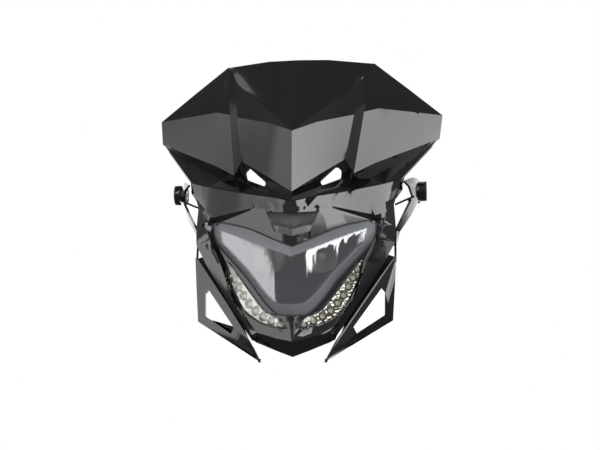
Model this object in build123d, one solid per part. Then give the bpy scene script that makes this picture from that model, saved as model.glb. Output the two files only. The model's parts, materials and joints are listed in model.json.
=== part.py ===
"""Universal street-bike headlight fairing with LED lamps.

A tall faceted windscreen visor sits over a V-nosed front mask. The mask frames a clear main lens with two
round LED modules behind it and two crescent LED lamps below. A side panel on each side carries a window in
its lower wing and, further back, an ear with the rubber-bushed hole that bolts to the fork.

Frame: millimetres, +Z up, the lamp faces -Y. The origin is the middle of the axis through the two fork bolts.
Node names say left and right as seen from the front: left is -X, right is +X.
"""

import os
from math import cos, radians, sin, sqrt, tan

from build123d import *

# Gloss mouldings
WALL = 3.0
SEAM_GAP = 0.5
FIT_GAP = 0.3
FLANGE_HEIGHT = 8.0

# Prow: the V-shaped front of the mask seen from above, the same at every height
PROW_NOSE_Y = -104.0
PROW_RADIUS = 70.0
PROW_ANGLE = 16.7

# Visor: half widths, heights and depths of its styling points
VISOR_TOP_X, VISOR_TOP_Y, VISOR_TOP_Z = 107.0, 18.0, 192.0
VISOR_BROW_Y = -22.0
TIP_X, TIP_Y = 202.0, 8.0
TIP_UPPER_Z, TIP_LOWER_Z = 110.0, 74.0
NOSE_Y = -110.0
NOSE_TOP_Z, NOSE_FOOT_Z = 64.0, -18.0
SEAM_CENTRE_Z = -29.0
SEAM_END_X, SEAM_END_Y, SEAM_END_Z = 142.0, -62.0, 5.0

# Main lens
LENS_WALL = 2.5
LENS_NOSE_Y = -120.0
LENS_RADIUS = 175.0
LENS_SEAT_Y = -66.0
LENS_GAP = 2.2
GASKET_DEPTH = 4.0

# Round LED modules behind the main lens
POD_X, POD_Z = 35.0, -96.5
POD_RADIUS = 23.0
POD_FRONT_Y = -65.2
POD_DEPTH = 30.0
DOME_RADIUS = 6.0

# Rear bucket
HOUSING_WALL = 2.5
HOUSING_DEPTH = 42.0
FLANGE_THICKNESS = 3.0
FLANGE_WIDTH = 9.0
BOSS_RADIUS = 5.0
SCREW_RADIUS = 2.0

# Crescent lamps
CRESCENT_PROUD = 2.5
CRESCENT_DEPTH = 7.0
CRESCENT_WALL = 1.8
CRESCENT_HOUSING_DEPTH = 13.0
CRESCENT_GAP = 0.6
LED_COUNT = 9

# Side panels and their fork bushes
WING_RIM = 10.0
SIDE_RETURN = 14.0
EAR_WALL = 3.0
LOBE_RADIUS = 17.0
BOLT_CENTRE_X = 169.0
GROMMET_RADIUS = 11.0
GROMMET_WIDTH = 12.0
SLEEVE_RADIUS = 5.5
BOLT_HOLE_RADIUS = 4.2
WING_INNER_Y = -90.0
WING_SLOPE = 0.329

# Rear bucket fits
HOUSING_FRONT_Y = LENS_SEAT_Y + FIT_GAP
HOUSING_REACH = 4.0
REFLECTOR_WALL = 2.0
GLAND_RADIUS = 9.0
GLAND_Z = -120.0
SCREW_LENGTH = 12.0
SCREW_HEAD_RADIUS = 4.0
SCREW_HEAD_HEIGHT = 2.6
SCREW_BITE = 1.8
CRESCENT_SEAT = 1.2
CRESCENT_FLANGE = 3.2
INSERT_WALL = 2.0

# Outlines in the XZ plane, half width and height
VENT_POINTS = [(62.5, 5), (63.5, 14), (58, 18), (36, -2), (38, -6)]
BROW_VENT = [(0, -75.5), (24, -68.5), (34.7, -42), (0, -45)]
BOSSES = [(62, -47, -87), (113, -84, -79), (0, -204, -103)]
WING_WINDOW = [(82, -200), (118, -176), (118.5, -146), (114.5, -141), (78, -192)]
CRESCENT_POINTS = [
    (13.8, -196), (41.6, -187), (63.6, -171.4), (76.9, -149.4), (86.5, -125), (90.6, -105),
    (85.5, -106), (69, -128.2), (51.2, -152), (35.5, -170.7), (16.7, -181), (9, -187.5), (6.4, -194),
]
CRESCENT_SMOOTH = (1, 2, 3, 4, 7, 8, 9, 10, 11)
CRESCENT_MIDDLE = [(9, -191), (26, -185), (50, -170), (69, -145), (86.5, -110)]


def prow(x):
    """Depth of the mask's front at half width x: a round nose that runs into straight flanks."""
    turn = radians(PROW_ANGLE)
    start = PROW_RADIUS * sin(turn)
    x = abs(x)
    if x <= start:
        return PROW_NOSE_Y + PROW_RADIUS - sqrt(PROW_RADIUS**2 - x**2)
    return PROW_NOSE_Y + PROW_RADIUS * (1 - cos(turn)) + (x - start) * tan(turn)


def on_prow(x, z, proud=0.0):
    return Vector(x, prow(x) - proud, z)


def on_lens(x, z):
    """A point on the round front of the main lens."""
    return Vector(x, LENS_NOSE_Y + LENS_RADIUS - sqrt(LENS_RADIUS**2 - x**2), z)


def mirrored(point):
    return Vector(-point.X, point.Y, point.Z)


def both_sides(columns, smooth):
    """The whole grid from its right half, with the smooth points of both sides."""
    last = len(columns) - 1
    left = [[mirrored(p) for p in column] for column in reversed(columns[1:])]
    whole = left + columns
    marks = {(last + i, j) for i, j in smooth} | {(last - i, j) for i, j in smooth}
    return whole, marks


def key(point):
    return (round(point.X, 4), round(point.Y, 4), round(point.Z, 4))


def inner_grid(grid, wall):
    """The grid one wall thickness behind, each point moved along the mean of the normals that meet there."""
    normals = {}
    for i in range(len(grid) - 1):
        for j in range(len(grid[0]) - 1):
            for di, dj in ((0, 0), (1, 0), (0, 1), (1, 1)):
                across = grid[i + 1][j + dj] - grid[i][j + dj]
                along = grid[i + di][j + 1] - grid[i + di][j]
                normal = across.cross(along)
                if normal.length > 1e-6:
                    normals.setdefault(key(grid[i + di][j + dj]), []).append(normal.normalized())
    moved = []
    for column in grid:
        inner = []
        for point in column:
            meeting = normals[key(point)]
            mean = sum(meeting, Vector()).normalized()
            reach = sum(mean.dot(n) for n in meeting) / len(meeting)
            inner.append(point - mean * (wall / reach))
        moved.append(inner)
    return moved


def handles(grid, marks, i, j):
    """Bezier points of row j from column i to the next: smooth through marked points, straight elsewhere."""
    start, end = grid[i][j], grid[i + 1][j]
    reach = (end - start).length / 3
    lead, trail = end - start, start - end
    if (i, j) in marks and 0 < i:
        lead = end - grid[i - 1][j]
    if (i + 1, j) in marks and i + 2 < len(grid):
        trail = start - grid[i + 2][j]
    if reach < 1e-6:
        return [start, start, end, end]
    return [start, start + lead.normalized() * reach, end + trail.normalized() * reach, end]


def panel(low, high, crown=0.0):
    """A face between two rows of Bezier points, bulged by crown in its middle."""
    ends = [low[0], low[-1], high[-1], high[0]]
    corners = [p for n, p in enumerate(ends) if (p - ends[n - 1]).length > 1e-6]
    if len(corners) < 3:
        return None
    if len(corners) == 3:
        return Face(Wire.make_polygon(corners))
    rows = [[a + (b - a) * (n / 3) for a, b in zip(low, high)] for n in range(4)]
    bulge = (ends[1] - ends[0]).cross(ends[3] - ends[0]) + (ends[3] - ends[2]).cross(ends[1] - ends[2])
    lift = bulge.normalized() * (crown / 0.5625)
    for n in (1, 2):
        rows[n][1] += lift
        rows[n][2] += lift
    return Face.make_bezier_surface(rows)


def moulding(grid, marks=frozenset(), wall=WALL, crowns=None):
    """A closed thin-walled moulding: outer skin over the grid, inner skin one wall behind, and its rims."""
    crowns = crowns or {}
    inner = inner_grid(grid, wall)
    wide, tall = len(grid) - 1, len(grid[0]) - 1
    outer_rows = [[handles(grid, marks, i, j) for j in range(tall + 1)] for i in range(wide)]
    inner_rows = [[handles(inner, marks, i, j) for j in range(tall + 1)] for i in range(wide)]
    faces = []
    for i in range(wide):
        for j in range(tall):
            crown = crowns.get((i, j), 0.0)
            faces.append(panel(outer_rows[i][j], outer_rows[i][j + 1], crown))
            faces.append(panel(inner_rows[i][j], inner_rows[i][j + 1], crown))
        for j in (0, tall):
            faces.append(panel(outer_rows[i][j], inner_rows[i][j]))
    for j in range(tall):
        for i in (0, wide):
            side = [grid[i][j], inner[i][j]]
            top = [grid[i][j + 1], inner[i][j + 1]]
            stretch = [[a + (b - a) * (n / 3) for n in range(4)] for a, b in (side, top)]
            faces.append(panel(*stretch))
    return Solid(Shell([f for f in faces if f]))


SEAM = [(0, SEAM_CENTRE_Z), (26, -23.5), (58, -17), (92, -9), (118, -2.5), (SEAM_END_X, SEAM_END_Z)]
SEAM_SMOOTH = (0, 1, 2, 3, 4)


def seam_points(gap=0.0):
    """The line where the visor sits on the mask, raised by gap."""
    sweep = (SEAM_END_Y - prow(SEAM_END_X)) / SEAM_END_X
    return [Vector(x, prow(x) + x * sweep, z + gap) for x, z in SEAM]


def visor_grid():
    """Styling points of the visor's right half: columns from the nose out, rows from the seam up."""
    top = Vector(VISOR_TOP_X, VISOR_TOP_Y, VISOR_TOP_Z)
    seam = seam_points(SEAM_GAP)
    nose = [
        seam[0],
        Vector(0, -101, -23.5),
        Vector(0, NOSE_Y, NOSE_FOOT_Z),
        Vector(0, NOSE_Y + 4, NOSE_TOP_Z),
        Vector(0, VISOR_BROW_Y, VISOR_TOP_Z - 1),
    ]
    face = [
        seam[1],
        Vector(36, -86, -7),
        Vector(34, -101, 5),
        Vector(29, -92, 81),
        Vector(42, VISOR_BROW_Y + 6, VISOR_TOP_Z - 1),
    ]
    fin_inner = [
        seam[2],
        Vector(65, -73, 5),
        Vector(69, -90, 28),
        Vector(89, -8, 160),
        Vector(103, 14, 191),
    ]
    fin_ridge = [
        seam[3],
        Vector(79, -64, 6),
        Vector(80, -84, 10),
        Vector(93, -44, 104),
        top,
    ]
    crease = [
        seam[4],
        Vector(101, -54, 9),
        Vector(107, -66, 27),
        Vector(113, -26, 119),
        top,
    ]
    tip = [
        seam[5],
        Vector(192, -6, 70),
        Vector(TIP_X - 5, TIP_Y - 10, TIP_LOWER_Z),
        Vector(TIP_X, TIP_Y, TIP_UPPER_Z),
        top,
    ]
    return [nose, face, fin_inner, fin_ridge, crease, tip]


def front_prism(outline, back, front):
    """The solid of an outline in the XZ plane between two depths."""
    face = make_face(outline) if not isinstance(outline, Face) else outline
    return extrude(face.moved(Location((0, back, 0))), back - front, dir=(0, -1, 0))


def prow_slab(proud, deep):
    """Everything between two depths behind the prow, for trimming outlines to the mask's front."""
    turn = radians(PROW_ANGLE)
    start = PROW_RADIUS * sin(turn)
    far = 160.0
    edges = []
    for shift in (-proud, deep):
        left, right = (Vector(side * start, prow(start) + shift) for side in (-1, 1))
        nose = Vector(0, PROW_NOSE_Y + shift)
        out_left, out_right = (Vector(side * far, prow(far) + shift) for side in (-1, 1))
        edges.append([Line(out_left, left), ThreePointArc(left, nose, right), Line(right, out_right)])
    ends = [Line(edges[0][0] @ 0, edges[1][0] @ 0), Line(edges[0][2] @ 1, edges[1][2] @ 1)]
    face = make_face(edges[0] + edges[1] + ends)
    return extrude(face.moved(Location((0, 0, -260))), 300, dir=(0, 0, 1))


def visor_flange():
    """The mask's step behind the visor at each seam point: seam, foot of the flange, top of the flange."""
    whole, _ = both_sides(visor_grid(), set())
    behind = inner_grid(whole, WALL + FIT_GAP)[len(SEAM) - 1:]
    feet = [column[0] for column in behind]
    tops = [low + (high - low).normalized() * FLANGE_HEIGHT for low, high, *_ in behind]
    tops[-1] = tops[-2] + (tops[-1] - tops[-2]) * 0.85
    return [list(points) for points in zip(seam_points(), feet, tops)]


def mask_grid():
    """Styling points of the mask's right half: columns from the nose out, rows from the chin up."""
    upper = visor_flange()
    nose = [Vector(0, -72, -226), Vector(0, -93, -230.5), Vector(0, -107, -211)]
    nose += [on_prow(0, z) for z in (-165, -125, -80, -46)]
    nose += [Vector(0, PROW_NOSE_Y - 2, -40)] + upper[0]
    cheek = [Vector(20, -71, -220), Vector(20, -91, -223), Vector(20, -101.5, -207)]
    cheek += [on_prow(20, z) for z in (-165, -125, -80, -44)]
    cheek += [on_prow(20, -38, 2)] + upper[1]
    brow = [Vector(37, -68, -212), Vector(38, -88, -215.5), Vector(36, -97, -202)]
    brow += [on_prow(36, -165), on_prow(48, -116), on_prow(51, -80), on_prow(51, -37.5)]
    brow += [on_prow(51, -35, 1.5)] + upper[2]
    pocket = [Vector(46, -66, -208.5), Vector(48, -85, -211.5), Vector(47, -94, -199)]
    pocket += [on_prow(75.5, -158), on_prow(93, -107), on_prow(107, -79), on_prow(110.5, -54)]
    pocket += [on_prow(107, -46, 7)] + upper[3]
    ridge = [Vector(50, -65, -207.5), Vector(51, -84, -209.5), Vector(52, -97, -202)]
    ridge += [Vector(79, -93, -157), Vector(97, -88, -105), Vector(111, -83, -77), Vector(119, -79, -56)]
    ridge += [Vector(121, -74, -40)] + upper[4]
    edge = [Vector(54, -70, -207), Vector(54, -83, -208.5), Vector(57, -90, -203)]
    edge += [Vector(87, -84, -158), Vector(119, -72, -106), Vector(133, -66, -80), Vector(134, -62, -58)]
    edge += [Vector(132, -60, -29)] + upper[5]
    shallow, deep = Vector(0, 8, 0), Vector(0, SIDE_RETURN, 0)
    back = [edge[0], edge[0]] + [p + shallow for p in edge[2:6]] + [p + deep for p in edge[6:8]]
    back += [edge[8] + Vector(0, SIDE_RETURN, -4)] + edge[9:]
    return [nose, cheek, brow, pocket, ridge, edge, back]


LENS_COLUMNS = [
    [(0, -177), (0, -165), (0, -103.5), (0, -90)],
    [(23, -172), (21.5, -160.5), (22, -95.5), (22, -81)],
    [(62, -124.5), (57, -119.5), (60, -79.5), (60, -63.5)],
    [(101.5, -81.5), (94, -81), (97, -64), (96, -53.5)],
]
LENS_END = [(106.5, -70), (107.2, -66), (107.2, -59), (105.5, -53)]


def seat(x, z):
    return Vector(x, LENS_SEAT_Y, z)


def lens_grid():
    """Styling points of the main lens: skirt, sloped side wall, round front, side wall, skirt."""
    columns = []
    for low, low_front, high_front, high in LENS_COLUMNS:
        fronts = [on_lens(*low_front), on_lens(*high_front)]
        columns.append([seat(*low), on_prow(*low), *fronts, on_prow(*high), seat(*high)])
    first, last = LENS_END[0], LENS_END[-1]
    columns.append([seat(*first)] + [on_prow(*p) for p in LENS_END] + [seat(*last)])
    columns.append([seat(*first)] + [seat(*p) for p in LENS_END] + [seat(*last)])
    return columns


def lens_marks():
    lower = {(i, j) for i in (0, 1, 2) for j in (0, 1, 2)}
    upper = {(i, j) for i in (1, 2) for j in (3, 4, 5)}
    return lower | upper


def headlight_lens():
    grid, marks = both_sides(lens_grid(), lens_marks())
    return moulding(grid, marks, LENS_WALL)


def closed_outline(points, smooth, gap=0.0):
    """A closed wire in the XZ plane through points, each moved outward by gap, smooth at the marked ones."""
    loop = [Vector(x, 0, z) for x, z in points]
    count = len(loop)
    moved = []
    for n, point in enumerate(loop):
        sides = [(point - loop[n - 1]).normalized(), (loop[(n + 1) % count] - point).normalized()]
        normals = [Vector(0, 1, 0).cross(side) for side in sides]
        mean = sum(normals, Vector()).normalized()
        moved.append(point + mean * (gap / mean.dot(normals[0])))
    chain = [[p] for p in [moved[-1]] + moved + moved[:2]]
    marks = {(n + 1, 0) for n in smooth} | {(n + 1 + count, 0) for n in smooth}
    return Wire([Bezier(*handles(chain, marks, n + 1, 0)) for n in range(count)])


def lens_outline(gap=0.0):
    """The main lens's outline, grown by gap."""
    lower = [column[0] for column in LENS_COLUMNS]
    upper = [column[-1] for column in reversed(LENS_COLUMNS)]
    right = lower + LENS_END + upper
    left = [(-x, z) for x, z in reversed(right[1:-1])]
    count = len(right) + len(left)
    smooth = {0, 1, 2, count - 1, count - 2}
    peak = len(right) - 1
    smooth |= {peak - 2, peak - 1, peak + 1, peak + 2}
    return closed_outline(right + left, smooth, gap)


def windscreen_visor():
    grid, marks = both_sides(visor_grid(), {(0, 4), (1, 4)} | {(n, 0) for n in SEAM_SMOOTH})
    shape = moulding(grid, marks)
    for side in (-1, 1):
        points = [(side * x, z) for x, z in VENT_POINTS]
        shape -= front_prism(Polyline(*[(x, 0, z) for x, z in points], close=True), -40, -130)
    for place in visor_screw_places():
        shape -= place * Cylinder(SCREW_RADIUS, 2 * SCREW_BITE)
    return shape


def visor_screw_places():
    """Where the screws of the visor pass the mask's flange, each looking out along the visor's wall."""
    flange = visor_flange()
    places = []
    for n in (1, 3):
        seam, foot, top = flange[n]
        out = (seam - foot).normalized()
        middle = foot + (top - foot) * 0.55 + out * FIT_GAP
        places.append(Location(Plane(middle, z_dir=out)))
        places.append(Location(Plane(mirrored(middle), z_dir=mirrored(out))))
    return places


def screw(place, shank):
    """A pan-head screw that points along the place's axis, its head seated on the place's plane."""
    head = Pos(0, 0, -SCREW_HEAD_HEIGHT / 2) * Cylinder(SCREW_HEAD_RADIUS, SCREW_HEAD_HEIGHT)
    slot = Pos(0, 0, -SCREW_HEAD_HEIGHT) * (Box(1, 4, 2) + Box(4, 1, 2))
    body = Pos(0, 0, shank / 2) * Cylinder(SCREW_RADIUS - 0.2, shank)
    return place * (head + body - slot)


def visor_screws():
    seat_depth = WALL + 4 * FIT_GAP
    group = [screw(place * Pos(0, 0, -seat_depth), seat_depth + SCREW_BITE - 0.5) for place in visor_screw_places()]
    return group


def crescent_outline(gap=0.0, side=1):
    points = [(side * x, z) for x, z in CRESCENT_POINTS]
    smooth = set(CRESCENT_SMOOTH)
    if side < 0:
        points.reverse()
        smooth = {len(points) - 1 - n for n in smooth}
    return closed_outline(points, smooth, gap)


def crescent_block(side, gap, proud, deep):
    """The crescent's outline, grown by gap, between two depths of the prow."""
    return front_prism(crescent_outline(gap, side), -40, -140) & prow_slab(proud, deep)


def turn_lens(side):
    outer = crescent_block(side, 0, CRESCENT_PROUD, CRESCENT_DEPTH)
    return outer - crescent_block(side, -CRESCENT_WALL, CRESCENT_PROUD - CRESCENT_WALL, CRESCENT_DEPTH + 1)


def led_places(side):
    """The seats of the LEDs, evenly spaced along the middle of the crescent."""
    middle = Spline(*[(side * x, 0, z) for x, z in CRESCENT_MIDDLE])
    spots = [middle.position_at((n + 0.5) / LED_COUNT) for n in range(LED_COUNT)]
    return [Vector(p.X, prow(p.X) + CRESCENT_DEPTH, p.Z) for p in spots]


def turn_reflector(side):
    """A row of round cups, one for each LED, sunk into a block that fills the lamp."""
    inset = -CRESCENT_WALL - FIT_GAP
    shape = crescent_block(side, inset, -1.5, CRESCENT_DEPTH)
    for spot in led_places(side):
        cup = Cone(2.2, 7.5, CRESCENT_DEPTH + 1, align=(Align.CENTER, Align.CENTER, Align.MIN))
        shape -= Pos(spot + Vector(0, 1, 0)) * Rot(90, 0, 0) * cup
    return shape


def turn_led_strip(side):
    """The circuit board behind the cups, with one LED at the foot of each."""
    board = crescent_block(side, -CRESCENT_WALL - FIT_GAP, -CRESCENT_DEPTH - FIT_GAP, CRESCENT_DEPTH + 1.9)
    for spot in led_places(side):
        board += Pos(spot + Vector(0, 0.3, 0)) * Box(2.4, 1.6, 2.4)
    return board


def turn_housing(side):
    """The black cup behind a crescent lamp, with a flange that seats on the back of the mask."""
    top = WALL + CRESCENT_SEAT
    shape = crescent_block(side, FIT_GAP + 1.8, -top, CRESCENT_HOUSING_DEPTH)
    shape += crescent_block(side, CRESCENT_FLANGE, -top, top + 1.8)
    return shape - crescent_block(side, FIT_GAP, -top + 1, CRESCENT_HOUSING_DEPTH - 1.8)


def lens_gasket():
    """The black rubber frame that fills the joint round the main lens."""
    ring = front_prism(lens_outline(LENS_GAP - FIT_GAP), -40, -140)
    ring -= front_prism(lens_outline(FIT_GAP), -40, -140)
    return ring & prow_slab(-0.8, GASKET_DEPTH)


def front_mask():
    """The V-nosed mask with its openings for the lens, the crescents and the brow vent, and its bosses."""
    marks = {(i, j) for i in (0, 1) for j in (3, 4, 5, 6, 7)} | {(i, j) for i in SEAM_SMOOTH for j in (8, 9, 10)}
    grid, marks = both_sides(mask_grid(), marks)
    shape = moulding(grid, marks)
    for x, z, front in boss_places():
        shape += Pos(x, (HOUSING_FRONT_Y - FIT_GAP + front) / 2, z) * Rot(90, 0, 0) * Cylinder(
            BOSS_RADIUS, HOUSING_FRONT_Y - FIT_GAP - front
        )
    shape -= front_prism(lens_outline(LENS_GAP), -40, -140)
    for side in (-1, 1):
        shape -= front_prism(crescent_outline(CRESCENT_GAP, side), -60, -140)
    shape -= front_prism(brow_outline(), -60, -140)
    for x, z, front in boss_places():
        shape -= Pos(x, HOUSING_FRONT_Y, z) * Rot(90, 0, 0) * Cylinder(SCREW_RADIUS, 2 * SCREW_LENGTH)
    for place in visor_screw_places():
        shape -= place * Cylinder(SCREW_RADIUS + 0.2, 3 * WALL)
    return shape


def brow_outline():
    right = [(x, z) for x, z in BROW_VENT]
    left = [(-x, z) for x, z in reversed(right) if x > 0]
    return Polyline(*[(x, 0, z) for x, z in right + left], close=True)


def brow_vent_insert():
    """The faceted panel behind the brow vent."""
    def behind(x, z, depth):
        return Vector(x, prow(x) + WALL + FIT_GAP + depth, z)

    columns = [
        [behind(0, -79, 0), behind(0, -66, 0.2), behind(0, -61, 6), behind(0, -41, 5)],
        [behind(19, -72, 0), behind(18, -61, 0.2), behind(17, -56.5, 6), behind(20, -40, 3)],
        [behind(28, -70, 0), behind(32, -59, 0), behind(35, -50, 0), behind(38, -39, 0)],
    ]
    grid, _ = both_sides(columns, set())
    return moulding(grid, wall=INSERT_WALL)


def boss_places():
    """The mask's bosses for the rear bucket: half width, height and how far forward each reaches."""
    places = []
    for x, z, front in BOSSES:
        places += [(side * x, z, front) for side in ((-1, 1) if x else (1,))]
    return places


def lamp_housing():
    """The rear bucket: a flange with lugs on the mask's bosses, a deep hollow body and a cable gland hole."""
    front, back = HOUSING_FRONT_Y, HOUSING_FRONT_Y + HOUSING_DEPTH
    flange_back = front + FLANGE_THICKNESS
    shape = front_prism(lens_outline(HOUSING_REACH + HOUSING_WALL), back, front)
    shape += front_prism(lens_outline(HOUSING_REACH + FLANGE_WIDTH), flange_back, front)
    for x, z, _ in boss_places():
        lug = Circle(BOSS_RADIUS + 2.5).moved(Location((x, z)))
        inward = Rectangle(2 * BOSS_RADIUS, 24).moved(Location((x * 0.9, z + (8 if x == 0 else -8))))
        face = Plane.XZ * (lug + inward) if x == 0 else Plane.XZ * lug
        shape += extrude(face.moved(Location((0, flange_back, 0))), FLANGE_THICKNESS, dir=(0, -1, 0))
    shape -= front_prism(lens_outline(HOUSING_REACH), back - HOUSING_WALL, front - 1)
    for x, z, _ in boss_places():
        shape -= Pos(x, front, z) * Rot(90, 0, 0) * Cylinder(SCREW_RADIUS + 0.2, 4 * FLANGE_THICKNESS)
    shape -= Pos(0, back, GLAND_Z) * Rot(90, 0, 0) * Cylinder(GLAND_RADIUS, 4 * HOUSING_WALL)
    return shape


def cable_grommet():
    """The rubber gland in the back of the bucket, open for the harness."""
    back = HOUSING_FRONT_Y + HOUSING_DEPTH
    lip = 2.0
    profile = Polyline(
        (GLAND_RADIUS - 3.5, -lip),
        (GLAND_RADIUS - 3.5, HOUSING_WALL + 9),
        (GLAND_RADIUS - 1.5, HOUSING_WALL + 9),
        (GLAND_RADIUS + 2.5, HOUSING_WALL + lip),
        (GLAND_RADIUS + 2.5, HOUSING_WALL + FIT_GAP / 2),
        (GLAND_RADIUS - FIT_GAP / 2, HOUSING_WALL + FIT_GAP / 2),
        (GLAND_RADIUS - FIT_GAP / 2, -FIT_GAP / 2),
        (GLAND_RADIUS + 2, -FIT_GAP / 2),
        (GLAND_RADIUS + 2, -lip),
        close=True,
    )
    ring = revolve(make_face(profile), Axis.Y)
    return Pos(0, back - HOUSING_WALL, GLAND_Z) * ring


def main_reflector():
    """The dark plate behind the lens: two round holes for the LED modules, each with a raised bezel."""
    front = HOUSING_FRONT_Y
    shape = front_prism(lens_outline(HOUSING_REACH - FIT_GAP), front + REFLECTOR_WALL, front)
    for side in (-1, 1):
        hole = Pos(side * POD_X, front, POD_Z) * Rot(90, 0, 0) * Cylinder(POD_RADIUS + FIT_GAP, 40)
        shape -= hole
    return shape


def lamp_pod(side):
    """A round LED module: a dished front with the chip in its middle and turned cooling fins behind."""
    r, dish = POD_RADIUS, POD_RADIUS - 3
    points = [(0, 4.5), (DOME_RADIUS + 1, 4.5), (dish, 1.5), (dish, 0), (r, 0), (r, 8)]
    for n in range(4):
        start = 8 + 5 * n
        points += [(r - 8, start), (r - 8, start + 2.5), (r - 1, start + 2.5), (r - 1, start + 5)]
    points += [(0, POD_DEPTH)]
    body = revolve(make_face(Polyline(*points, close=True)), Axis.Y)
    return Pos(side * POD_X, POD_FRONT_Y, POD_Z) * body


def led_dome(side):
    """The clear dome over the chip of one module."""
    dome = Sphere(DOME_RADIUS) & Pos(0, -DOME_RADIUS, 0) * Box(30, 2 * DOME_RADIUS, 30)
    return Pos(side * POD_X, POD_FRONT_Y + 4.5, POD_Z) * dome


def housing_screws():
    seat_y = HOUSING_FRONT_Y + FLANGE_THICKNESS
    return [screw(Pos(x, seat_y, z) * Rot(90, 0, 0), SCREW_LENGTH) for x, z, _ in boss_places()]


def wing_depth(x):
    """Depth of the wing's flat front at half width x."""
    return WING_INNER_Y + (x - 60) * WING_SLOPE


def wing_grid():
    """Styling points of the right wing: inner rim, inner edge, outer edge, outer rim; rows from the tip up."""
    def at(x, z, back=0.0):
        return Vector(x, wing_depth(x) + back, z)

    rim = WING_RIM
    inner = [at(41, -236.5, 5), at(55, -211.5, rim), at(88.5, -160.5, rim), at(124.5, -102, 7)]
    fold = [at(40, -237.7), at(54.5, -211), at(88.5, -159.5), at(131, -99)]
    outer = [at(40, -237.7), at(128.7, -183), at(132, -134), at(134, -98)]
    back = [at(42, -236, 5), at(128.7, -183, rim), at(132, -134, rim), at(134, -98, rim)]
    return [inner, fold, outer, back]


def ear_grid():
    """Styling points of the right ear: columns from its front edge back, rows upwards."""
    front = [(134.6, -61, -112), (134.4, -55, -84), (135, -46.5, -62), (147, -49, -38), (158, -46, -16)]
    front += [(153, -54, -2), (146, -58, 4)]
    middle = [(135.5, -48, -112), (136.5, -38, -84), (141, -32, -62), (154, -28, -38), (164, -27, -14)]
    middle += [(163, -28, 2), (158, -31, 14)]
    bolt = [(141, -20, -112), (144, -12, -84), (149, -4, -62), (162, 0, -36), (169.5, 0, -12)]
    bolt += [(169.5, 0, 4), (166, 0, 24)]
    rear = [(146, 0, -112), (150, 10, -84), (155, 20, -62), (167, 26, -36), (173.5, 26, -12)]
    rear += [(173.5, 26, 4), (170, 26, 24)]
    return [[Vector(*p) for p in column] for column in (front, middle, bolt, rear)]


def side_panel(side):
    """One side moulding: the lower wing with its window, the ear behind it and the rib to the mask."""
    wing = moulding(wing_grid())
    wing += window_rim()
    wing -= front_prism(window_outline(), -20, -120)
    ear = moulding(ear_grid(), {(i, j) for i in (1, 2) for j in range(7)}, EAR_WALL)
    lobe = Plane.YZ * (Circle(LOBE_RADIUS) + make_face(Polyline(
        (-2, LOBE_RADIUS), (-70, 9), (-70, -106), (-52, -106), (-40, -70), (-13, -11), close=True)))
    ear &= extrude(lobe.moved(Location((100, 0, 0))), 100, dir=(1, 0, 0))
    boss = Pos(BOLT_CENTRE_X, 0, 0) * Rot(0, 90, 0) * Cylinder(GROMMET_RADIUS + 3, GROMMET_WIDTH)
    ear += boss
    ear -= Pos(BOLT_CENTRE_X, 0, 0) * Rot(0, 90, 0) * Cylinder(GROMMET_RADIUS, 60)
    rib = front_prism(Polyline((133.2, 0, -27), (133.2, 0, -30), (159, 0, -19), (159, 0, -16), close=True), -42, -58)
    shape = wing + ear + rib
    return shape if side > 0 else mirror(shape, Plane.YZ)


def window_outline(gap=0.0):
    return closed_outline(WING_WINDOW, set(), gap)


def window_rim():
    """The return round the wing's window."""
    ring = front_prism(window_outline(WALL), -40, -120) & wing_slab(0.1, WING_RIM - 2)
    return ring


def wing_slab(front, deep):
    """A slab behind the wing's flat front."""
    ends = [(20, wing_depth(20)), (150, wing_depth(150))]
    face = make_face(Polyline(*[(x, y + front) for x, y in ends], *[(x, y + deep) for x, y in ends[::-1]], close=True))
    return extrude(face.moved(Location((0, 0, -250))), 250, dir=(0, 0, 1))


def mount_grommet(side):
    """The rubber bush in the ear, flanged on both faces."""
    half = GROMMET_WIDTH / 2 + FIT_GAP / 2
    body = Cylinder(GROMMET_RADIUS - FIT_GAP / 2, 2 * half)
    for end in (-1, 1):
        body += Pos(0, 0, end * (half + 1)) * Cylinder(GROMMET_RADIUS + 2.5, 2)
    body -= Cylinder(SLEEVE_RADIUS + FIT_GAP / 2, 4 * half)
    return Pos(side * BOLT_CENTRE_X, 0, 0) * Rot(0, 90, 0) * body


def mount_sleeve(side):
    """The steel sleeve that the fork bolt passes through."""
    length = GROMMET_WIDTH + 5
    sleeve = Cylinder(SLEEVE_RADIUS, length) - Cylinder(BOLT_HOLE_RADIUS, length)
    return Pos(side * BOLT_CENTRE_X, 0, 0) * Rot(0, 90, 0) * sleeve


def save(shape, name):
    shape.label = name
    export_step(shape, f"parts/{name}.step")


def main():
    os.makedirs("parts", exist_ok=True)
    single = {
        "windscreen_visor": windscreen_visor,
        "front_mask": front_mask,
        "headlight_lens": headlight_lens,
        "lens_gasket": lens_gasket,
        "brow_vent_insert": brow_vent_insert,
        "lamp_housing": lamp_housing,
        "cable_grommet": cable_grommet,
        "main_reflector": main_reflector,
    }
    paired = {
        "side_panel": side_panel,
        "lamp_pod": lamp_pod,
        "led_dome": led_dome,
        "turn_lens": turn_lens,
        "turn_reflector": turn_reflector,
        "turn_led_strip": turn_led_strip,
        "turn_housing": turn_housing,
        "mount_grommet": mount_grommet,
        "mount_sleeve": mount_sleeve,
    }
    for name, build in single.items():
        save(build(), name)
    for name, build in paired.items():
        save(build(-1), name + "_left")
        save(build(1), name + "_right")
    save(Compound(children=visor_screws()), "visor_screws")
    save(Compound(children=housing_screws()), "housing_screws")


main()
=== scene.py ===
"""Looks of a street-bike headlight fairing with LED lamps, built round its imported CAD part.

The windscreen visor is modelled here. The mask, the brow's insert, the side panels and the clear lenses are
copies of their CAD nodes with rounded edges, and every other piece is its CAD node. Each material is worked
out from the piece's own coordinates, and soft panels in the world light them. Units are metres, +Z is up and
the lamp faces -Y.
"""

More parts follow.
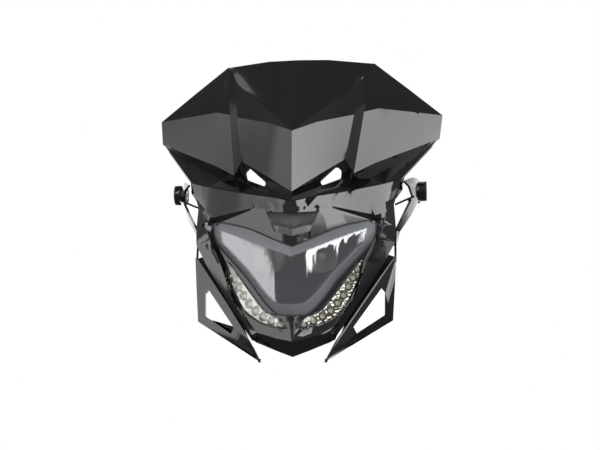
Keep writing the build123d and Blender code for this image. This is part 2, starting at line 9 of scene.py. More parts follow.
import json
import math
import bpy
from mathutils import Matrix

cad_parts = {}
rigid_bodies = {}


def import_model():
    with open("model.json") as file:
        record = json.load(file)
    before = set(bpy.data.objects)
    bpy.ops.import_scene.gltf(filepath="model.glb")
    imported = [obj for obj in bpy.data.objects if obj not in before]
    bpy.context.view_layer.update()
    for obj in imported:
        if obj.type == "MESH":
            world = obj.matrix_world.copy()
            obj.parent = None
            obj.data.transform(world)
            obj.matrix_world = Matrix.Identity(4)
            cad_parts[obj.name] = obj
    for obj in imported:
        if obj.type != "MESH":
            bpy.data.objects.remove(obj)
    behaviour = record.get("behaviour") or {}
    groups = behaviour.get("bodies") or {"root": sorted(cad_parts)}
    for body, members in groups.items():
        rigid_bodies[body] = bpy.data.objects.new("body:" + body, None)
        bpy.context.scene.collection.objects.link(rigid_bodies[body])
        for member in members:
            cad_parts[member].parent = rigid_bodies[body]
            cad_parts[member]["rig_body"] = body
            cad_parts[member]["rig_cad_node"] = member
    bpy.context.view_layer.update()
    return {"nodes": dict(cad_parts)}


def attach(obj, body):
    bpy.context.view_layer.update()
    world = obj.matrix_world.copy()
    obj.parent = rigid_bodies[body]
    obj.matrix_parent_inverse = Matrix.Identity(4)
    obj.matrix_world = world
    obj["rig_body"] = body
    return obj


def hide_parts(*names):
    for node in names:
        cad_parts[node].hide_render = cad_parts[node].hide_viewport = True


bl_info = {
    "name": "LED headlight fairing",
    "version": (1, 0, 0),
    "blender": (4, 5, 0),
    "location": "View3D > Sidebar > Fairing",
    "description": "Dresses the packed headlight fairing and its small studio",
    "category": "Object",
}

import bmesh
import bpy
from bpy.props import FloatProperty, FloatVectorProperty, PointerProperty
from mathutils import Vector

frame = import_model()
NODES = frame["nodes"]
BODY = "root"
SIDES = ("left", "right")

# Styling points of the visor's right half in millimetres: columns from the nose out, rows from the seam up
VISOR_COLUMNS = (
    ((0, -104, -28.5), (0, -101, -23.5), (0, -110, -18), (0, -106, 64), (0, -106, 64), (0, -22, 187.5)),
    ((26, -98.2, -23), (36, -86, -7), (34, -101, 5), (32, -91, 79), (32, -69, 99), (42, -16, 188.5)),
    ((58, -87.7, -16.5), (65, -73, 5), (69, -90, 28), (80, -64, 95), (89, -6, 160), (103, 14, 191)),
    ((92, -77, -8.5), (79, -64, 6), (80, -84, 10), (93, -44, 104), (101, -10, 156), (107, 17.7, 192)),
    ((118, -69, -2), (101, -54, 9), (107, -66, 27), (113, -30, 112), (111, -8, 150), (107, 17.7, 192)),
    ((142, -61.8, 5.5), (192, -6, 70), (197, -2, 74), (202, 8, 110), (156, 12, 150), (107, 17.7, 192)),
)
VENT = ((62.5, 5), (63.5, 14), (58, 18), (36, -2), (38, -6))
VENT_FRONT, VENT_BACK = -130, -40
VENT_CORNER = 0.002
# The ledge across the mask's brow at its half widths: heights of its foot, its lip and the seam, and how
# proud the lip stands; it ends at BROW_END and lies in front of BROW_DEPTH (metres)
BROW_LEDGE = (
    ((0, -46), (20, -44), (51, -37.5), (107, -54)),
    ((0, -40), (20, -38), (51, -35), (107, -46)),
    ((0, -29), (26, -23.5), (58, -17), (107, -5)),
    ((0, 2.2), (20, 2.2), (51, 1.6), (107, 0)),
)
BROW_END = 107
BROW_DEPTH = -0.074
# The side panel's groove behind the mask's edge: its bottom and its rim, from the tip up
GROOVE_COLUMNS = (
    ((45, -85, -231), (55, -82, -211), (70, -77, -180), (92, -71, -141), (110, -64, -110), (124, -62, -96)),
    ((41, -96, -236.5), (54.5, -91.5, -211), (71, -86.2, -186), (88.5, -80.4, -159.5), (110, -73.4, -129),
     (131, -66.4, -99)),
)
GROOVE_WALL = 0.6  # share of the mouldings' wall

# How far apart points are merged in a CAD copy and in a sheet, and the angle below which two faces are one
MERGE_DISTANCE = 2e-5
WELD_DISTANCE = 1e-5
FLAT_ANGLE = 0.4
FACET_LEVELS = 3  # how often a sheet's facets are halved: a twisted one then curves, with no diagonal fold

# Angles in degrees: edges sharper than the first are rounded, folds shallower than the second shade smooth
EDGE_ANGLE, SMOOTH_ANGLE = 24.0, 30.0
VISOR_EDGE, VISOR_SMOOTH = 13.0, 9.0
INSERT_SMOOTH = 8.0
PANEL_SMOOTH = 12.0
LENS_ROUND = 0.0012
COVER_ROUND = 0.0007
LENS_FRONT = 0.72  # a face of the lens that points less to the front than this is its side wall

# Studio: the photograph's camera, and the light panels' azimuths and heights in degrees as the lamp sees them
CAMERA_PLACE = (0.1331, -1.3771, -0.2592)
CAMERA_TARGET = (0.0005, 0.0, -0.045)
SENSOR_WIDTH = 36.0
FLOOR_SIZE = 12.0
LEFT_SIDES = (-94.0, -26.0)
LEFT_LOW, LEFT_MIDDLE, LEFT_HIGH = (-8.0, 13.0), (-8.0, 25.0), (12.0, 48.0)
RIGHT_SIDES, RIGHT_ENDS = (8.0, 74.0), (0.0, 49.5)
STRIP_SIDES, STRIP_ENDS = (58.0, 80.0), (-5.0, 7.0)


class Value:
    """A shader socket that adds up like a number: each operation adds its Math node."""

    def __init__(self, finish, socket):
        self.finish = finish
        self.socket = socket

    def maths(self, operation, *others):
        return self.finish.add("ShaderNodeMath", {"operation": operation}, [self, *others])

    def __add__(self, other):
        return self.maths("ADD", other)

    def __sub__(self, other):
        return self.maths("SUBTRACT", other)

    def __mul__(self, other):
        return self.maths("MULTIPLY", other)

    def ramp(self, low, high, start=0.0, end=1.0):
        """Smoothly from start at low to end at high."""
        settings = {"interpolation_type": "SMOOTHSTEP"}
        return self.finish.add("ShaderNodeMapRange", settings, [self, low, high, start, end])


class Finish:
    """The nodes that make one material, or the world when its tree is given."""

    def __init__(self, name, tree=None):
        self.material = None
        if tree is None:
            self.material = bpy.data.materials.new(name)
            self.material.use_nodes = True
            tree = self.material.node_tree
        self.tree = tree
        tree.nodes.clear()

    def add(self, kind, settings=None, sockets=None, out=0):
        """Adds a node, sets it up, and gives its sockets their numbers, colours or links."""
        node = self.tree.nodes.new(kind)
        for name, value in (settings or {}).items():
            setattr(node, name, value)
        pairs = sockets.items() if isinstance(sockets, dict) else enumerate(sockets or [])
        for name, value in pairs:
            if isinstance(value, Value):
                self.tree.links.new(value.socket, node.inputs[name])
            elif value is not None:
                node.inputs[name].default_value = value
        return Value(self, node.outputs[out])

    def place(self):
        """The piece's own coordinates, in metres."""
        return self.add("ShaderNodeTexCoord", out=3)

    def axes(self, vector):
        """The three parts of a vector."""
        node = self.add("ShaderNodeSeparateXYZ", sockets=[vector]).socket.node
        return [Value(self, node.outputs[n]) for n in range(3)]

    def noise(self, scale, detail=3.0, roughness=0.5):
        sockets = {"Vector": self.place(), "Scale": scale, "Detail": detail, "Roughness": roughness}
        return self.add("ShaderNodeTexNoise", sockets=sockets)

    def cells(self, scale):
        return self.add("ShaderNodeTexVoronoi", sockets={"Vector": self.place(), "Scale": scale})

    def blend(self, mask, first, second):
        """A colour between two colours."""
        settings = {"data_type": "RGBA"}
        return self.add("ShaderNodeMix", settings, {0: mask, 6: first, 7: second}, out=2)

    def bump(self, height, strength, distance):
        sockets = {"Strength": strength, "Distance": distance, "Height": height}
        return self.add("ShaderNodeBump", sockets=sockets)

    def surface(self, **sockets):
        """A Principled surface; underscores in the names stand for spaces."""
        named = {name.replace("_", " "): value for name, value in sockets.items()}
        return self.add("ShaderNodeBsdfPrincipled", sockets=named)

    def mix(self, mask, first, second):
        return self.add("ShaderNodeMixShader", sockets=[mask, first, second])

    def output(self, shader, kind="ShaderNodeOutputMaterial"):
        node = self.tree.nodes.new(kind)
        self.tree.links.new(shader.socket, node.inputs[0])
        return self.material


def colour(shade):
    """A setting's colour with full alpha."""
    return (*shade, 1.0)


def gloss_black(name, settings):
    """Polished black moulding: faint flow ripples, fine dust and a little wipe haze."""
    f = Finish(name)
    haze = f.noise(9.0, 4.0, 0.6)
    dust = f.cells(1400.0)
    specks = dust.ramp(0.0, 0.09, 1.0, 0.0) * f.noise(60.0).ramp(0.55, 0.7)
    base = f.blend(specks * 0.35, colour(settings.gloss), (0.2, 0.2, 0.2, 1.0))
    rough = haze * 0.05 + specks * 0.3 + settings.gloss_roughness
    ripple = f.noise(26.0, 2.0) + f.noise(420.0, 2.0) * 0.02
    normal = f.bump(ripple, 0.06, 0.0015)
    return f.output(f.surface(Base_Color=base, Roughness=rough, IOR=1.53, Normal=normal))


def satin_black(name):
    """Satin moulding of the brow's vent, with a light haze."""
    f = Finish(name)
    haze = f.noise(60.0, 4.0, 0.6)
    base = f.blend(haze, (0.03, 0.03, 0.031, 1.0), (0.05, 0.05, 0.05, 1.0))
    return f.output(f.surface(Base_Color=base, Roughness=haze * 0.1 + 0.22, IOR=1.53,
                              Normal=f.bump(f.noise(500.0), 0.1, 0.0003)))


def textured_black(name, settings):
    """Moulded black plastic with a fine spark grain."""
    f = Finish(name)
    grain = f.noise(900.0, 3.0, 0.6)
    patch = f.noise(18.0, 3.0)
    base = f.blend(patch, colour(settings.plastic), (0.045, 0.045, 0.047, 1.0))
    return f.output(f.surface(Base_Color=base, Roughness=grain * 0.2 + 0.42, IOR=1.5,
                              Normal=f.bump(grain, 0.35, 0.0004)))


def black_rubber(name, settings):
    """Matt rubber, a little dusty in its pores."""
    f = Finish(name)
    pores = f.noise(700.0, 4.0, 0.7)
    bloom = f.noise(30.0, 3.0).ramp(0.4, 0.8)
    base = f.blend(bloom * 0.5, colour(settings.rubber), (0.05, 0.05, 0.05, 1.0))
    return f.output(f.surface(Base_Color=base, Roughness=pores * 0.2 + 0.6, IOR=1.5,
                              Normal=f.bump(pores, 0.4, 0.0003)))


def clear_skin(f, tint, roughness, normal, mirror):
    """A clear skin: a small even share of mirror over what shows through."""
    gloss = f.surface(Base_Color=(1.0, 1.0, 1.0, 1.0), Metallic=1.0, Roughness=roughness, Normal=normal)
    through = f.add("ShaderNodeBsdfTransparent", sockets={"Color": tint})
    return f.mix(mirror, through, gloss)


def lens_face(name):
    """Clear polycarbonate with a hard coat."""
    f = Finish(name)
    flow = f.noise(20.0, 2.0)
    tint = f.blend(flow, (0.9, 0.92, 0.95, 1.0), (0.95, 0.96, 0.98, 1.0))
    normal = f.bump(flow, 0.05, 0.001)
    return f.output(clear_skin(f, tint, flow * 0.01 + 0.005, normal, flow * 0.01 + 0.085))


def lens_side(name, settings):
    """The lens's frosted side wall, with the grey look of spark-eroded polycarbonate."""
    f = Finish(name)
    grain = f.noise(1200.0, 3.0)
    cloud = f.noise(40.0, 3.0)
    tint = f.blend(cloud, colour(settings.frost), (0.24, 0.25, 0.265, 1.0))
    frost = f.surface(Base_Color=tint, Roughness=grain * 0.15 + 0.3, IOR=1.49,
                      Normal=f.bump(grain, 0.25, 0.0003))
    clear = f.surface(Base_Color=(0.9, 0.92, 0.95, 1.0), Roughness=grain * 0.1 + 0.25, IOR=1.49,
                      Transmission_Weight=1.0)
    return f.output(f.mix(cloud * 0.2 + 0.35, frost, clear))


def dark_chrome(name, settings):
    """Dark vacuum coating with vertical banding."""
    f = Finish(name)
    across = f.axes(f.place())[0]
    flutes = (across * 520.0).maths("SINE") * 0.5 + 0.5
    grain = f.noise(300.0, 3.0)
    base = f.blend(grain, colour(settings.reflector), (0.03, 0.03, 0.045, 1.0))
    return f.output(f.surface(Base_Color=base, Metallic=1.0, Roughness=grain * 0.12 + 0.12,
                              Normal=f.bump(flutes, 0.25, 0.001)))


def bright_chrome(name, settings):
    """Bright vacuum coating of the small LED cups, with a crazed sparkle."""
    f = Finish(name)
    facets = f.cells(260.0)
    grain = f.noise(500.0, 3.0)
    base = f.blend(grain, colour(settings.cups), (0.34, 0.327, 0.29, 1.0))
    return f.output(f.surface(Base_Color=base, Metallic=1.0, Roughness=grain * 0.1 + 0.1,
                              Normal=f.bump(facets, 0.5, 0.0012)))


def cast_metal(name, settings):
    """Turned cast aluminium of the LED modules."""
    f = Finish(name)
    grain = f.noise(420.0, 4.0, 0.6)
    base = f.blend(grain, colour(settings.casting), (0.1, 0.097, 0.085, 1.0))
    return f.output(f.surface(Base_Color=base, Metallic=0.85, Roughness=grain * 0.25 + 0.3,
                              Normal=f.bump(grain, 0.3, 0.0004)))


def zinc(name):
    """Zinc-plated steel with faint spangle."""
    f = Finish(name)
    spangle = f.cells(300.0)
    base = f.blend(spangle, (0.55, 0.55, 0.53, 1.0), (0.68, 0.67, 0.63, 1.0))
    return f.output(f.surface(Base_Color=base, Metallic=1.0, Roughness=spangle * 0.15 + 0.28,
                              Normal=f.bump(spangle, 0.1, 0.0003)))


def black_steel(name):
    """Black-plated steel of the screws, worn a little at its edges."""
    f = Finish(name)
    wear = f.noise(500.0, 4.0).ramp(0.62, 0.75)
    base = f.blend(wear, (0.03, 0.03, 0.032, 1.0), (0.3, 0.3, 0.3, 1.0))
    return f.output(f.surface(Base_Color=base, Metallic=0.9, Roughness=wear * 0.1 + 0.35,
                              Normal=f.bump(wear, 0.1, 0.0002)))


def lamp_clear(name):
    """Thin clear cover of a crescent lamp."""
    f = Finish(name)
    flow = f.noise(40.0, 2.0)
    tint = f.blend(flow, (0.95, 0.96, 0.96, 1.0), (0.99, 0.99, 0.98, 1.0))
    return f.output(clear_skin(f, tint, flow * 0.02 + 0.01, f.bump(flow, 0.1, 0.0015), flow * 0.01 + 0.045))


def led_clear(name):
    """Clear silicone dome of an LED."""
    f = Finish(name)
    flow = f.noise(200.0, 2.0)
    tint = f.blend(flow, (0.98, 0.97, 0.9, 1.0), (0.99, 0.99, 0.95, 1.0))
    return f.output(f.surface(Base_Color=tint, Roughness=flow * 0.05 + 0.03, IOR=1.42,
                              Transmission_Weight=0.8, Normal=f.bump(flow, 0.05, 0.0005)))


def circuit_white(name):
    """White solder mask with pale yellow LED chips."""
    f = Finish(name)
    grain = f.noise(600.0, 3.0)
    base = f.blend(grain, (0.32, 0.3, 0.26, 1.0), (0.4, 0.37, 0.29, 1.0))
    return f.output(f.surface(Base_Color=base, Roughness=grain * 0.2 + 0.4,
                              Normal=f.bump(grain, 0.2, 0.0003)))


def coat(piece, *materials):
    """Gives a piece its materials."""
    piece.data.materials.clear()
    for material in materials:
        piece.data.materials.append(material)


def finish_node(node, material):
    """Gives a CAD node its material; the solid itself is shown."""
    coat(NODES[node], material)


def select_only(piece):
    """Makes a piece the only selected one, and the active one."""
    bpy.ops.object.select_all(action="DESELECT")
    piece.select_set(True)
    bpy.context.view_layer.objects.active = piece


def merged_copy(node):
    """A copy of a CAD node with its points merged and its flat faces joined."""
    select_only(NODES[node])
    bpy.ops.object.duplicate(linked=False)
    piece = bpy.context.view_layer.objects.active
    piece.name = node + "_finished"
    piece.data.name = piece.name
    for mark in ("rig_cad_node", "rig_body"):  # the copy isn't the node itself
        del piece[mark]
    bpy.ops.object.mode_set(mode="EDIT")
    bpy.ops.mesh.select_all(action="SELECT")
    bpy.ops.mesh.remove_doubles(threshold=MERGE_DISTANCE)
    bpy.ops.mesh.dissolve_limited(angle_limit=math.radians(FLAT_ANGLE), delimit={"NORMAL"})
    bpy.ops.object.mode_set(mode="OBJECT")
    return piece


def rounded_copy(node, width, segments=2, smooth=SMOOTH_ANGLE):
    """A copy of a CAD node with its sharp edges rounded; it replaces the node."""
    piece = merged_copy(node)
    round_edges(piece, width, segments, smooth=smooth)
    stands_for(piece, node)
    return piece


def metres(points):
    """Points in millimetres as vectors in metres."""
    return [Vector(point) / 1000.0 for point in points]


def move_points(piece, places):
    """Moves each point of a small mesh to its place."""
    bpy.ops.object.mode_set(mode="EDIT")
    mesh = bmesh.from_edit_mesh(piece.data)
    for index, place in enumerate(places):
        bpy.ops.mesh.select_all(action="DESELECT")
        mesh.verts.ensure_lookup_table()
        point = mesh.verts[index]
        step = place - point.co
        point.select_set(True)
        mesh.select_flush(True)
        bpy.ops.transform.translate(value=step)
    bpy.ops.object.mode_set(mode="OBJECT")


def faceted_sheet(name, columns):
    """A sheet of facets: a grid with its points moved to the styling points, columns from left to right."""
    wide, tall = len(columns), len(columns[0])
    bpy.ops.object.select_all(action="DESELECT")
    bpy.ops.mesh.primitive_grid_add(x_subdivisions=wide - 1, y_subdivisions=tall - 1, size=0.3)
    piece = bpy.context.object
    piece.name = piece.data.name = name
    move_points(piece, [columns[i][j] for j in range(tall) for i in range(wide)])
    bpy.ops.object.mode_set(mode="EDIT")
    bpy.ops.mesh.select_all(action="SELECT")
    bpy.ops.mesh.remove_doubles(threshold=WELD_DISTANCE)
    bpy.ops.mesh.dissolve_degenerate(threshold=WELD_DISTANCE)
    bpy.ops.object.mode_set(mode="OBJECT")
    apply_modifier(piece, "fine", "SUBSURF", subdivision_type="SIMPLE", levels=FACET_LEVELS)
    return piece


def mirrored_columns(columns):
    """The columns of a right half, led by their mirror images."""
    right = [metres(column) for column in columns]
    left = [[Vector((-p.x, p.y, p.z)) for p in column] for column in reversed(right[1:])]
    return left + right


def front_cutter(outline, side, front, back, corner):
    """A prism along Y over an outline of x and z, with rounded corners."""
    bpy.ops.object.select_all(action="DESELECT")
    bpy.ops.mesh.primitive_circle_add(vertices=len(outline), radius=0.01, fill_type="NGON")
    piece = bpy.context.object
    move_points(piece, metres([(side * x, front, z) for x, z in outline]))
    bpy.ops.object.mode_set(mode="EDIT")
    bpy.ops.mesh.select_all(action="SELECT")
    bpy.ops.mesh.bevel(affect="VERTICES", offset=corner, segments=3)
    bpy.ops.mesh.select_all(action="SELECT")
    move = {"value": (0.0, (back - front) / 1000.0, 0.0)}
    bpy.ops.mesh.extrude_region_move(TRANSFORM_OT_translate=move)
    bpy.ops.mesh.select_all(action="SELECT")
    bpy.ops.mesh.normals_make_consistent(inside=False)
    bpy.ops.object.mode_set(mode="OBJECT")
    return piece


def apply_modifier(piece, name, kind, **settings):
    """Adds a modifier with its settings to a piece and applies it."""
    select_only(piece)
    modifier = piece.modifiers.new(name, kind)
    for key, value in settings.items():
        setattr(modifier, key, value)
    bpy.ops.object.modifier_apply(modifier=name)


def cut_out(piece, cutter):
    """Cuts the cutter's form out of the piece and removes the cutter."""
    apply_modifier(piece, "cut", "BOOLEAN", operation="DIFFERENCE", solver="EXACT", object=cutter)
    bpy.data.objects.remove(cutter)


def round_edges(piece, width, segments=2, angle=EDGE_ANGLE, smooth=SMOOTH_ANGLE):
    """Rounds edges sharper than an angle and shades smooth across folds shallower than smooth, in degrees."""
    apply_modifier(piece, "edges", "BEVEL", width=width, segments=segments, limit_method="ANGLE",
                   angle_limit=math.radians(angle), miter_outer="MITER_ARC", use_clamp_overlap=True)
    bpy.ops.object.shade_smooth_by_angle(angle=math.radians(smooth))


def stands_for(piece, node):
    """The piece rides with the body and is shown in the node's place, and the node is hidden."""
    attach(piece, BODY)
    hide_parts(node)


def between(x, stations):
    """The value at x on a line through pairs of x and value."""
    for (low, start), (high, end) in zip(stations, stations[1:]):
        if x <= high:
            return start + (end - start) * (x - low) / (high - low)
    return stations[-1][1]


def flatten_brow(piece):
    """Lays the ledge across the mask's brow back into the face, from its middle out to the lens's corners."""
    select_only(piece)
    bpy.ops.object.mode_set(mode="EDIT")
    mesh = bmesh.from_edit_mesh(piece.data)
    for point in mesh.verts:
        x, z = abs(point.co.x) * 1000.0, point.co.z * 1000.0
        foot, ledge, seam, proud = (between(x, stations) for stations in BROW_LEDGE)
        if x < BROW_END and foot < z < seam and point.co.y < BROW_DEPTH:
            share = (z - foot) / (ledge - foot) if z < ledge else (seam - z) / (seam - ledge)
            point.co.y += proud * share / 1000.0
    bmesh.update_edit_mesh(piece.data)
    bpy.ops.object.mode_set(mode="OBJECT")


class FairingSettings(bpy.types.PropertyGroup):
    """Sizes and colours that a user would change."""

    wall: FloatProperty(name="Wall", description="Wall of the modelled mouldings", default=0.003,
                        min=0.001, max=0.006, unit="LENGTH", subtype="DISTANCE")
    edge_round: FloatProperty(name="Edge rounding", description="Rounding of the mouldings' edges",
                              default=0.0007, min=0.0001, max=0.003, unit="LENGTH", subtype="DISTANCE")
    gloss: FloatVectorProperty(name="Gloss black", description="Colour of the gloss mouldings",
                               default=(0.0035, 0.0035, 0.0045), size=3, min=0.0, max=1.0, subtype="COLOR")
    gloss_roughness: FloatProperty(name="Gloss roughness", description="Roughness of the polished mouldings",
                                   default=0.04, min=0.0, max=1.0, subtype="FACTOR")
    plastic: FloatVectorProperty(name="Textured black", description="Colour of the bucket and lamp housings",
                                 default=(0.025, 0.025, 0.027), size=3, min=0.0, max=1.0, subtype="COLOR")
    rubber: FloatVectorProperty(name="Rubber", description="Colour of the gasket, gland and bushes",
                                default=(0.015, 0.015, 0.016), size=3, min=0.0, max=1.0, subtype="COLOR")
    frost: FloatVectorProperty(name="Frosted lens side", description="Colour of the lens's frosted side wall",
                               default=(0.17, 0.175, 0.19), size=3, min=0.0, max=1.0, subtype="COLOR")
    reflector: FloatVectorProperty(name="Dark reflector", description="Colour of the coated lamp interior",
                                   default=(0.012, 0.012, 0.024), size=3, min=0.0, max=1.0, subtype="COLOR")
    cups: FloatVectorProperty(name="Bright cups", description="Colour of the small LED cups",
                              default=(0.22, 0.212, 0.187), size=3, min=0.0, max=1.0, subtype="COLOR")
    casting: FloatVectorProperty(name="Cast metal", description="Colour of the LED modules",
                                 default=(0.085, 0.082, 0.07), size=3, min=0.0, max=1.0, subtype="COLOR")


class StudioSettings(bpy.types.PropertyGroup):
    """Sizes and strengths of the studio."""

    lens: FloatProperty(name="Focal length", description="Focal length of the camera in millimetres",
                        default=60.0, min=10.0, max=300.0)
    floor_height: FloatProperty(name="Floor height", description="Height of the floor below the fork bolts",
                                default=-0.36, unit="LENGTH", subtype="DISTANCE")
    left_panel: FloatProperty(name="Left panel", description="Brightness of the soft panel on the left",
                              default=1.0, min=0.0)
    right_panel: FloatProperty(name="Right panel", description="Brightness of the soft panel on the right",
                               default=5.6, min=0.0)
    floor_shade: FloatVectorProperty(name="Floor", description="Colour of the floor",
                                     default=(0.86, 0.86, 0.86), size=3, min=0.0, max=1.0, subtype="COLOR")


class FAIRING_OT_visor(bpy.types.Operator):
    """Model the faceted windscreen visor, with the V-shaped fold over its nose and its two vents"""

    bl_idname = "fairing.visor"
    bl_label = "Windscreen visor"

    def execute(self, context):
        settings = context.scene.fairing
        visor = faceted_sheet("visor_faceted", mirrored_columns(VISOR_COLUMNS))
        apply_modifier(visor, "wall", "SOLIDIFY", thickness=settings.wall, offset=-1.0, use_even_offset=True)
        for side in (-1, 1):
            cut_out(visor, front_cutter(VENT, side, VENT_FRONT, VENT_BACK, VENT_CORNER))
        round_edges(visor, settings.edge_round, angle=VISOR_EDGE, smooth=VISOR_SMOOTH)
        coat(visor, gloss_black("visor_gloss", settings))
        stands_for(visor, "windscreen_visor")
        return {"FINISHED"}


class FAIRING_OT_mask(bpy.types.Operator):
    """Finish the front mask with an even brow and rounded edges, and the insert in its vent"""

    bl_idname = "fairing.mask"
    bl_label = "Front mask"

    def execute(self, context):
        settings = context.scene.fairing
        mask = merged_copy("front_mask")
        flatten_brow(mask)
        round_edges(mask, settings.edge_round)
        coat(mask, gloss_black("mask_gloss", settings))
        stands_for(mask, "front_mask")
        insert = rounded_copy("brow_vent_insert", settings.edge_round, smooth=INSERT_SMOOTH)
        coat(insert, satin_black("insert_satin"))
        return {"FINISHED"}


class FAIRING_OT_side_panels(bpy.types.Operator):
    """Finish the side panels with rounded edges, and add the groove that runs behind the mask's edge"""

    bl_idname = "fairing.side_panels"
    bl_label = "Side panels"

    def execute(self, context):
        settings = context.scene.fairing
        gloss = gloss_black("panel_gloss", settings)
        for side, sign in zip(SIDES, (-1, 1)):
            panel = merged_copy("side_panel_" + side)
            columns = [[Vector((sign * p.x, p.y, p.z)) for p in metres(column)] for column in GROOVE_COLUMNS]
            groove = faceted_sheet("groove_" + side, columns[::sign])
            apply_modifier(groove, "wall", "SOLIDIFY", thickness=GROOVE_WALL * settings.wall, offset=-1.0)
            bpy.ops.object.select_all(action="DESELECT")
            groove.select_set(True)
            panel.select_set(True)
            context.view_layer.objects.active = panel
            bpy.ops.object.join()
            round_edges(panel, settings.edge_round, smooth=PANEL_SMOOTH)
            coat(panel, gloss)
            stands_for(panel, "side_panel_" + side)
        return {"FINISHED"}


class FAIRING_OT_main_lens(bpy.types.Operator):
    """Finish the main lens with a clear face and a frosted side wall, and its rubber channel"""

    bl_idname = "fairing.main_lens"
    bl_label = "Main lens"

    def execute(self, context):
        settings = context.scene.fairing
        lens = rounded_copy("headlight_lens", LENS_ROUND, segments=3)
        coat(lens, lens_face("lens_face"), lens_side("lens_side", settings))
        for face in lens.data.polygons:
            face.material_index = 1 if abs(face.normal.y) < LENS_FRONT else 0
        finish_node("lens_gasket", black_rubber("gasket_rubber", settings))
        return {"FINISHED"}


class FAIRING_OT_main_lamp(bpy.types.Operator):
    """Finish the dark reflector, the round LED modules and their domes"""

    bl_idname = "fairing.main_lamp"
    bl_label = "Main lamp"

    def execute(self, context):
        settings = context.scene.fairing
        finish_node("main_reflector", dark_chrome("dark_chrome", settings))
        casting = cast_metal("cast_metal", settings)
        dome = led_clear("led_clear")
        for side in SIDES:
            finish_node("lamp_pod_" + side, casting)
            finish_node("led_dome_" + side, dome)
        return {"FINISHED"}


class FAIRING_OT_crescents(bpy.types.Operator):
    """Finish the crescent lamps with their covers, cups and LED strips"""

    bl_idname = "fairing.crescents"
    bl_label = "Crescent lamps"

    def execute(self, context):
        settings = context.scene.fairing
        clear = lamp_clear("lamp_clear")
        chrome = bright_chrome("bright_chrome", settings)
        board = circuit_white("circuit_white")
        shell = textured_black("lamp_black", settings)
        for side in SIDES:
            coat(rounded_copy("turn_lens_" + side, COVER_ROUND), clear)
            finish_node("turn_reflector_" + side, chrome)
            finish_node("turn_led_strip_" + side, board)
            finish_node("turn_housing_" + side, shell)
        return {"FINISHED"}


class FAIRING_OT_bucket(bpy.types.Operator):
    """Finish the rear bucket, its gland, and the screws of the bucket and the visor"""

    bl_idname = "fairing.bucket"
    bl_label = "Rear bucket"

    def execute(self, context):
        settings = context.scene.fairing
        finish_node("lamp_housing", textured_black("bucket_black", settings))
        finish_node("cable_grommet", black_rubber("gland_rubber", settings))
        steel = black_steel("screw_steel")
        for node in ("visor_screws", "housing_screws"):
            finish_node(node, steel)
        return {"FINISHED"}


class FAIRING_OT_bushes(bpy.types.Operator):
    """Finish the rubber bushes and steel sleeves in the ears"""

    bl_idname = "fairing.bushes"
    bl_label = "Fork bushes"

    def execute(self, context):
        settings = context.scene.fairing
        rubber = black_rubber("bush_rubber", settings)
        steel = zinc("zinc_plate")
        for side in SIDES:
            finish_node("mount_grommet_" + side, rubber)
            finish_node("mount_sleeve_" + side, steel)
        return {"FINISHED"}


def floor_paper(name, studio):
    """White paper: the camera sees it plain and mirrors look past it to the panels."""
    f = Finish(name)
    path = f.add("ShaderNodeLightPath").socket.node
    camera, glossy = Value(f, path.outputs[0]), Value(f, path.outputs[3])
    shade = f.blend(f.noise(300.0), colour(studio.floor_shade), (0.88, 0.88, 0.88, 1.0))
    paper = f.surface(Base_Color=shade, Roughness=0.6)
    glow = f.add("ShaderNodeEmission", sockets={"Color": (1.0, 1.0, 1.0, 1.0), "Strength": 1.0})
    past = f.add("ShaderNodeBsdfTransparent")
    return f.output(f.mix(glossy, f.mix(camera, paper, glow), past))


def light_panel(azimuth, height, sides, ends, soft=1.5):
    """One where a direction falls on a panel between two azimuths and two heights, in degrees, else zero."""
    (west, east), (low, high) = sides, ends
    across = azimuth.ramp(west - soft, west + soft) * azimuth.ramp(east - soft, east + soft, 1.0, 0.0)
    up = height.ramp(low - soft, low + soft) * height.ramp(high - soft, high + soft, 1.0, 0.0)
    return across * up


def studio_world(tree, studio):
    """White for the camera; for all else a dim room with soft panels on the left, on the right and behind."""
    w = Finish("world", tree)
    ray = w.add("ShaderNodeLightPath", out=0)
    x, y, z = w.axes(w.add("ShaderNodeTexCoord", out=0))
    azimuth = x.maths("ARCTAN2", y * -1.0) * math.degrees(1.0)
    height = z.maths("ARCSINE") * math.degrees(1.0)
    left, right = studio.left_panel, studio.right_panel

    # The room itself, dimmer overhead and below
    glow = height.ramp(46.0, 52.0, 0.4, 0.2) * height.ramp(-14.0, -6.0, 0.35, 1.0)

    # The left panels, brightest near the horizon
    glow = glow + light_panel(azimuth, height, LEFT_SIDES, LEFT_LOW) * (left * 1.7)
    glow = glow + light_panel(azimuth, height, LEFT_SIDES, LEFT_MIDDLE, 2.5) * left
    fall = azimuth.ramp(-85.0, -45.0, 1.1, 0.7) * left
    glow = glow + light_panel(azimuth, height, LEFT_SIDES, LEFT_HIGH, 0.8) * fall

    # The right panel, whose lower edge rises a little to the right, and a dim strip under it
    rise = height - azimuth * 0.03
    fade = height.ramp(10.0, 48.0, 1.2, 0.8) * right
    glow = glow + light_panel(azimuth, height, RIGHT_SIDES, RIGHT_ENDS, 0.5) * rise.ramp(7.2, 9.6) * fade
    glow = glow + light_panel(azimuth, height, STRIP_SIDES, STRIP_ENDS) * (right * 0.4)

    # The panel behind the object
    behind = azimuth.maths("ABSOLUTE").ramp(122.0, 135.0) * height.ramp(-12.0, -4.0)
    glow = glow + behind * height.ramp(28.0, 40.0, 1.0, 0.0) * 1.6

    room = w.add("ShaderNodeBackground", sockets=[(1.0, 1.0, 1.0, 1.0), glow])
    white = w.add("ShaderNodeBackground", sockets=[(1.0, 1.0, 1.0, 1.0), 1.0])
    w.output(w.mix(ray, room, white), "ShaderNodeOutputWorld")


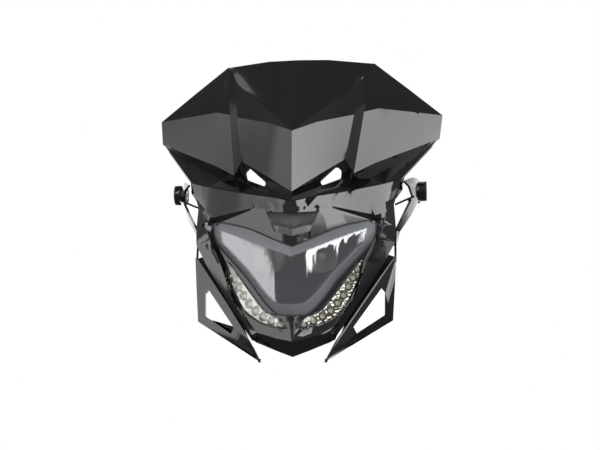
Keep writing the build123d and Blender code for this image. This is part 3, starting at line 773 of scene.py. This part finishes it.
class FAIRING_OT_stage(bpy.types.Operator):
    """Set the camera at the photograph's angle, the pale floor and the world with its soft panels"""

    bl_idname = "fairing.stage"
    bl_label = "Studio"

    def execute(self, context):
        studio = context.scene.studio
        bpy.ops.object.camera_add(location=CAMERA_PLACE)
        camera = context.object
        camera.data.lens = studio.lens
        camera.data.sensor_width = SENSOR_WIDTH
        view = Vector(CAMERA_TARGET) - camera.location
        camera.rotation_euler = view.to_track_quat("-Z", "Y").to_euler()
        context.scene.camera = camera

        bpy.ops.mesh.primitive_plane_add(size=FLOOR_SIZE, location=(0.0, 0.0, studio.floor_height))
        floor = context.object
        floor.name = "floor"
        floor.data.materials.append(floor_paper("floor_paper", studio))

        world = bpy.data.worlds.new("studio_world")
        context.scene.world = world
        world.use_nodes = True
        studio_world(world.node_tree, studio)
        context.scene.view_settings.view_transform = "Standard"
        return {"FINISHED"}


class FAIRING_PT_panel(bpy.types.Panel):
    """The fairing's steps and settings"""

    bl_label = "Headlight fairing"
    bl_idname = "FAIRING_PT_panel"
    bl_space_type = "VIEW_3D"
    bl_region_type = "UI"
    bl_category = "Fairing"

    def draw(self, context):
        layout = self.layout
        for operator in STEPS:
            layout.operator(operator.bl_idname)
        for group in (context.scene.fairing, context.scene.studio):
            for name in group.bl_rna.properties.keys():
                if name not in ("rna_type", "name"):
                    layout.prop(group, name)


STEPS = (
    FAIRING_OT_visor,
    FAIRING_OT_mask,
    FAIRING_OT_side_panels,
    FAIRING_OT_main_lens,
    FAIRING_OT_main_lamp,
    FAIRING_OT_crescents,
    FAIRING_OT_bucket,
    FAIRING_OT_bushes,
    FAIRING_OT_stage,
)
CLASSES = (FairingSettings, StudioSettings, *STEPS, FAIRING_PT_panel)


def register():
    for kind in CLASSES:
        bpy.utils.register_class(kind)
    bpy.types.Scene.fairing = PointerProperty(type=FairingSettings)
    bpy.types.Scene.studio = PointerProperty(type=StudioSettings)


def unregister():
    del bpy.types.Scene.studio
    del bpy.types.Scene.fairing
    for kind in reversed(CLASSES):
        bpy.utils.unregister_class(kind)


def main():
    register()
    bpy.ops.fairing.visor()
    bpy.ops.fairing.mask()
    bpy.ops.fairing.side_panels()
    bpy.ops.fairing.main_lens()
    bpy.ops.fairing.main_lamp()
    bpy.ops.fairing.crescents()
    bpy.ops.fairing.bucket()
    bpy.ops.fairing.bushes()
    bpy.ops.fairing.stage()


if __name__ == "__main__":
    main()
